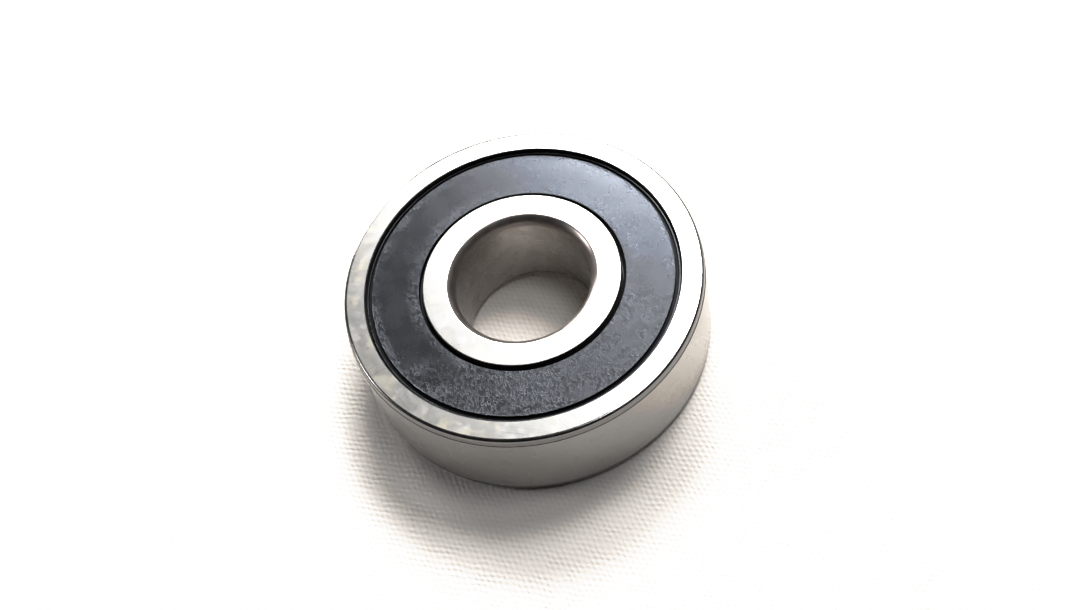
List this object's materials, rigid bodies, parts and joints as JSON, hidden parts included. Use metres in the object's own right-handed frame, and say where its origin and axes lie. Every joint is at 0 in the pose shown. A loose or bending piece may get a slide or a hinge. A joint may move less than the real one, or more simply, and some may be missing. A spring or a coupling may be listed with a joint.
{
  "type": "ball bearing",
  "caption": "Sealed deep-groove ball bearing: inner and outer steel rings with caged balls running between them and a rubber seal in each side, to carry a turning shaft.",
  "frame": {"origin": "the bearing's centre: on its axis, halfway between its two faces", "axes": "+Z along the bearing axis; +X through the centre of the first ball"},
  "size_m": [0.024, 0.024, 0.007],
  "materials": {
    "ring_steel": "ground and honed bearing steel, satin, with faint grinding lines",
    "ball_steel": "lapped and polished bearing steel",
    "cage_steel": "pressed mild steel sheet, dull satin",
    "seal_rubber": "moulded blue-black nitrile rubber, satin, with a trace of dried grease",
    "core_steel": "cold-rolled steel sheet, bonded into the rubber"
  },
  "bodies": {
    "outer_ring": {"outer_ring": "ring_steel", "seal_core_upper": "core_steel", "seal_rubber_upper": "seal_rubber", "seal_core_lower": "core_steel", "seal_rubber_lower": "seal_rubber"},
    "inner_ring": {"inner_ring": "ring_steel"},
    "cage": {"cage_half_upper": "cage_steel", "cage_half_lower": "cage_steel", "cage_rivet_1": "cage_steel", "cage_rivet_2": "cage_steel", "cage_rivet_3": "cage_steel", "cage_rivet_4": "cage_steel", "cage_rivet_5": "cage_steel", "cage_rivet_6": "cage_steel", "cage_rivet_7": "cage_steel"},
    "ball_1": {"ball_1": "ball_steel"},
    "ball_2": {"ball_2": "ball_steel"},
    "ball_3": {"ball_3": "ball_steel"},
    "ball_4": {"ball_4": "ball_steel"},
    "ball_5": {"ball_5": "ball_steel"},
    "ball_6": {"ball_6": "ball_steel"},
    "ball_7": {"ball_7": "ball_steel"}
  },
  "joints": [
    {"name": "inner_ring_spin", "type": "hinge", "parent": "outer_ring", "child": "inner_ring", "pos_m": [0, 0, 0], "axis": [0, 0, 1], "continuous": true},
    {"name": "cage_orbit", "type": "hinge", "parent": "outer_ring", "child": "cage", "pos_m": [0, 0, 0], "axis": [0, 0, 1], "continuous": true},
    {"name": "ball_1_roll", "type": "hinge", "parent": "cage", "child": "ball_1", "pos_m": [0.00825, 0, 0], "axis": [0, 0, 1], "continuous": true},
    {"name": "ball_2_roll", "type": "hinge", "parent": "cage", "child": "ball_2", "pos_m": [0.00514, 0.00645, 0], "axis": [0, 0, 1], "continuous": true},
    {"name": "ball_3_roll", "type": "hinge", "parent": "cage", "child": "ball_3", "pos_m": [-0.00184, 0.00804, 0], "axis": [0, 0, 1], "continuous": true},
    {"name": "ball_4_roll", "type": "hinge", "parent": "cage", "child": "ball_4", "pos_m": [-0.00743, 0.00358, 0], "axis": [0, 0, 1], "continuous": true},
    {"name": "ball_5_roll", "type": "hinge", "parent": "cage", "child": "ball_5", "pos_m": [-0.00743, -0.00358, 0], "axis": [0, 0, 1], "continuous": true},
    {"name": "ball_6_roll", "type": "hinge", "parent": "cage", "child": "ball_6", "pos_m": [-0.00184, -0.00804, 0], "axis": [0, 0, 1], "continuous": true},
    {"name": "ball_7_roll", "type": "hinge", "parent": "cage", "child": "ball_7", "pos_m": [0.00514, -0.00645, 0], "axis": [0, 0, 1], "continuous": true}
  ],
  "couplings": [
    {"joint": "cage_orbit", "follows": "inner_ring_spin", "ratio": 0.37973},
    {"joint": "ball_1_roll", "follows": "inner_ring_spin", "ratio": -1.9583},
    {"joint": "ball_2_roll", "follows": "inner_ring_spin", "ratio": -1.9583},
    {"joint": "ball_3_roll", "follows": "inner_ring_spin", "ratio": -1.9583},
    {"joint": "ball_4_roll", "follows": "inner_ring_spin", "ratio": -1.9583},
    {"joint": "ball_5_roll", "follows": "inner_ring_spin", "ratio": -1.9583},
    {"joint": "ball_6_roll", "follows": "inner_ring_spin", "ratio": -1.9583},
    {"joint": "ball_7_roll", "follows": "inner_ring_spin", "ratio": -1.9583}
  ]
}
